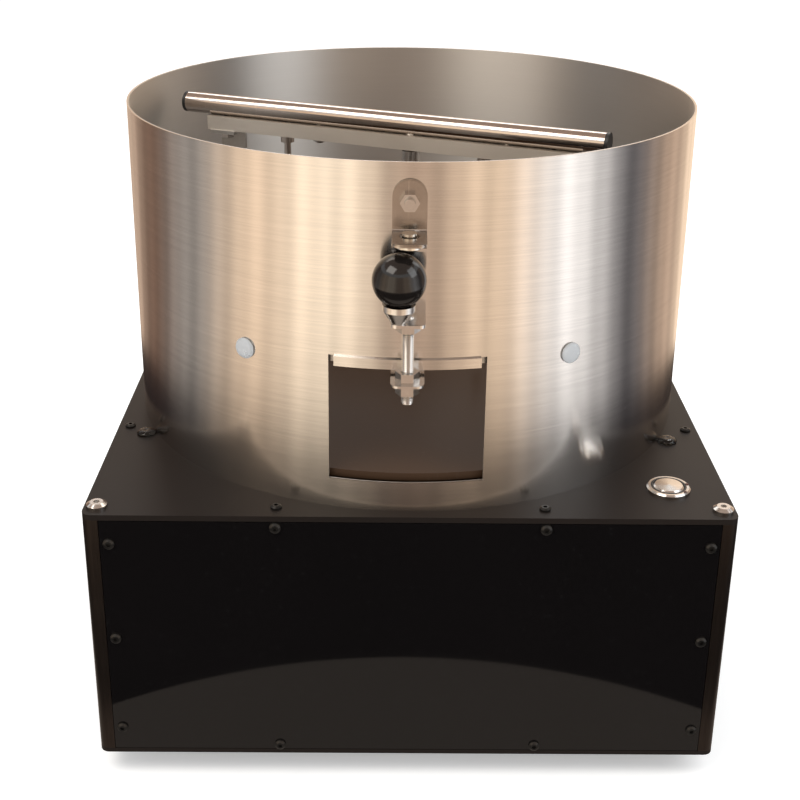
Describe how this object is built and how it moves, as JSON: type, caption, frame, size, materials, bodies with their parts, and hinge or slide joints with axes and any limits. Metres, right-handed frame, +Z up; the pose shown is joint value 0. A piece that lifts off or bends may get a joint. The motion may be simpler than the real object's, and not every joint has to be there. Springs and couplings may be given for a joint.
{
  "type": "coffee bean roaster",
  "caption": "Countertop coffee bean roaster: square black base box, open steel drum with a turning stirrer over a dark pan, and a sliding outlet gate with a ball knob.",
  "frame": {"origin": "centre of the bounding box's footprint, on the surface the feet stand on", "axes": "+Z up, -Y towards the user and the outlet, +X to the user's right"},
  "size_m": [0.3282, 0.3528, 0.333],
  "materials": {
    "black_satin": "satin powder coat",
    "black_gloss_panel": "gloss acrylic",
    "post_anodised": "dark satin anodised",
    "screw_black": "black oxide",
    "screw_steel": "bright zinc plate",
    "foot_rubber": "pale grey",
    "stainless_brushed": "horizontal brushed grain",
    "stainless_bright": "bright rolled",
    "stainless_matt": "matt",
    "pan_dark": "seasoned, dark",
    "knob_black": "gloss phenolic",
    "silicone_clear": "clear silicone",
    "plastic_black": "moulded",
    "lamp_red": "dark red lens",
    "magnet_nickel": "nickel plate",
    "aluminium_plain": "as machined",
    "brass_bush": "turned",
    "board_green": "solder mask",
    "insulation": "pressed board"
  },
  "bodies": {
    "base": {"base_floor": "black_satin", "base_deck": "black_satin", "front_panel": "black_gloss_panel", "rear_panel": "black_satin", "left_panel": "black_gloss_panel", "right_panel": "black_gloss_panel", "post_front_left": "post_anodised", "post_front_right": "post_anodised", "post_rear_right": "post_anodised", "post_rear_left": "post_anodised", "joining_blocks": "aluminium_plain", "front_screws": "screw_black", "side_and_rear_screws": "screw_black", "deck_screws": "screw_black", "corner_screws": "screw_steel", "floor_screws": "screw_black", "feet": "foot_rubber", "switch_body": "stainless_bright", "switch_lamps": "lamp_red", "drum_wall": "stainless_brushed", "roasting_pan": "pan_dark", "shaft_bush": "brass_bush", "drum_brackets": "stainless_matt", "wall_bumpers": "silicone_clear", "deck_bumpers": "silicone_clear", "gate_rails": "stainless_matt", "top_bracket": "stainless_bright", "bracket_bolt": "screw_steel", "catch_magnet": "magnet_nickel", "motor_plate": "aluminium_plain", "deck_fixings": "screw_steel", "gear_motor": "aluminium_plain", "insulation_board": "insulation", "heater_ring": "stainless_matt", "heater_fittings": "stainless_matt", "fan_frame": "plastic_black", "fan_guard": "screw_steel", "rear_fixings": "screw_black", "mains_inlet": "plastic_black", "control_board": "board_green", "power_supply": "aluminium_plain"},
    "stirrer": {"stirrer_shaft": "stainless_bright", "lower_bar": "stainless_matt", "top_tube": "stainless_bright", "tube_plugs": "plastic_black", "paddles": "stainless_matt", "stirrer_screws": "screw_steel", "stirring_rods": "stainless_bright", "drive_shaft": "stainless_bright", "shaft_coupling": "aluminium_plain"},
    "gate": {"gate_plate": "stainless_matt", "foot_bracket": "stainless_bright", "lift_rod": "screw_steel", "rod_nuts": "screw_steel", "carriage": "stainless_bright", "knob_cup": "screw_steel", "ball_knob": "knob_black"},
    "button": {"switch_cap": "stainless_matt"},
    "fan": {"fan_rotor": "plastic_black"}
  },
  "joints": [
    {"name": "stirrer_spin", "type": "hinge", "parent": "base", "child": "stirrer", "pos_m": [0, 0.00945, 0.2], "axis": [0, 0, 1], "continuous": true},
    {"name": "gate_lift", "type": "slide", "parent": "base", "child": "gate", "axis": [0, 0, 1], "range_m": [-0.0575, 0]},
    {"name": "button_press", "type": "slide", "parent": "base", "child": "button", "axis": [0, 0, -1], "range_m": [0, 0.002], "stiffness_N_per_m": 500, "springref_m": -0.001},
    {"name": "fan_spin", "type": "hinge", "parent": "base", "child": "fan", "pos_m": [-0.06, 0.15445, 0.09], "axis": [0, 1, 0], "continuous": true}
  ]
}
